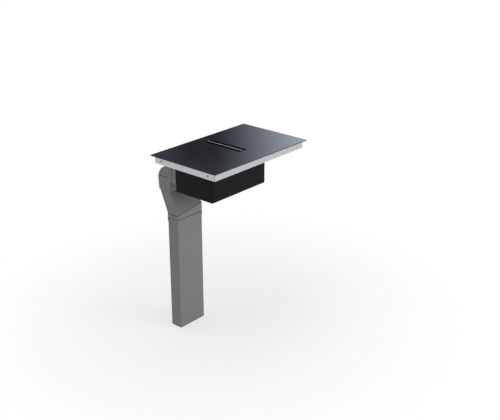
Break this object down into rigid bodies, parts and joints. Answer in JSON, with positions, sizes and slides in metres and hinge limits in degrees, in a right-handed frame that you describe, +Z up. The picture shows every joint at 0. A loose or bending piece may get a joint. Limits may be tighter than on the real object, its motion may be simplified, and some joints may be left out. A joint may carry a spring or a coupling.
{
  "type": "cooktop with integrated extractor",
  "caption": "Glass induction cooktop with a long flush vent, a black extractor box hung below its tray, and a flat duct that bends down behind the box to the floor.",
  "frame": {"origin": "middle of the hob, on the worktop surface that the rim seal rests on", "axes": "+X to the cook's right, +Y away from the cook, +Z up"},
  "size_m": [0.83, 0.52, 1.1055],
  "materials": {
    "glass": "black glass-ceramic, polished",
    "seal": "black foam and silicone",
    "zinc_sheet": "zinc-coated sheet steel",
    "black_housing": "black moulded plastic, satin",
    "black_trim": "black moulded plastic, fine satin",
    "steel": "brushed stainless steel",
    "duct": "grey extruded plastic",
    "screw": "zinc-plated screws",
    "aluminium": "plain aluminium sheet",
    "copper": "enamelled copper litz",
    "carrier": "glass-filled plastic, natural",
    "ferrite": "sintered ferrite",
    "board": "circuit board, green lacquer",
    "fan": "black fan plastic",
    "wheel": "dark grey moulded plastic",
    "motor": "die-cast motor parts",
    "rubber": "black rubber"
  },
  "bodies": {
    "cooktop": {"glass_top": "glass", "rim_seal": "seal", "glass_bond": "seal", "hob_tray": "zinc_sheet", "coil_plate_left": "aluminium", "coil_plate_right": "aluminium", "coil_carriers": "carrier", "coil_winding_front_left": "copper", "coil_winding_back_left": "copper", "coil_winding_front_right": "copper", "coil_winding_back_right": "copper", "ferrite_bars": "ferrite", "coil_sensors": "rubber", "power_board_left": "board", "power_board_right": "board", "heatsink_left": "aluminium", "heatsink_right": "aluminium", "cooling_fan_frame_left": "fan", "cooling_fan_frame_right": "fan", "touch_board": "board", "touch_pads": "rubber", "terminal_box": "black_trim", "terminal_cover": "black_trim", "terminal_block": "carrier", "terminal_screws": "screw", "cable_gland": "black_trim", "vent_frame": "black_trim", "intake_channel": "black_housing", "channel_gasket": "seal", "extractor_housing": "black_housing", "mount_pads": "rubber", "mount_screws": "screw", "base_cover": "black_housing", "base_cover_screws": "screw", "scroll_body": "black_housing", "scroll_inlet": "black_housing", "scroll_screws": "screw", "motor_bushes": "rubber", "fan_motor": "motor", "motor_screws": "screw", "outlet_spigot": "black_housing", "spigot_screws": "screw", "elbow_sleeve": "duct", "duct_elbow": "duct", "duct_adapter": "duct", "duct_collar": "duct", "flat_duct": "duct", "blower_control_box": "black_trim"},
    "impeller": {"impeller": "wheel", "motor_rotor": "motor"},
    "cooling_fan_left": {"cooling_fan_rotor_left": "fan"},
    "cooling_fan_right": {"cooling_fan_rotor_right": "fan"},
    "return_flap": {"return_flap": "duct", "flap_pin": "steel"},
    "grease_filter": {"filter_cassette": "steel", "filter_slats": "steel"},
    "grille": {"grille_frame": "black_trim", "grille_blade": "steel"},
    "overflow_basin": {"overflow_basin": "black_housing"}
  },
  "joints": [
    {"name": "impeller_spin", "type": "hinge", "parent": "cooktop", "child": "impeller", "pos_m": [-0.204, -0.054, -0.1], "axis": [0, 0, 1], "continuous": true},
    {"name": "cooling_fan_left_spin", "type": "hinge", "parent": "cooktop", "child": "cooling_fan_left", "pos_m": [-0.29, -0.165, -0.03], "axis": [0, 0, 1], "continuous": true},
    {"name": "cooling_fan_right_spin", "type": "hinge", "parent": "cooktop", "child": "cooling_fan_right", "pos_m": [0.29, -0.165, -0.03], "axis": [0, 0, 1], "continuous": true},
    {"name": "flap_swing", "type": "hinge", "parent": "cooktop", "child": "return_flap", "pos_m": [-0.2795, 0.096, -0.057], "axis": [1, 0, 0], "range_deg": [0, 70]},
    {"name": "filter_lift", "type": "slide", "parent": "cooktop", "child": "grease_filter", "axis": [0, 0, 1], "range_m": [0, 0.1]},
    {"name": "grille_lift", "type": "slide", "parent": "grease_filter", "child": "grille", "axis": [0, 0, 1], "range_m": [0, 0.04]},
    {"name": "basin_drop", "type": "slide", "parent": "cooktop", "child": "overflow_basin", "axis": [0, 0, -1], "range_m": [0, 0.05]}
  ]
}
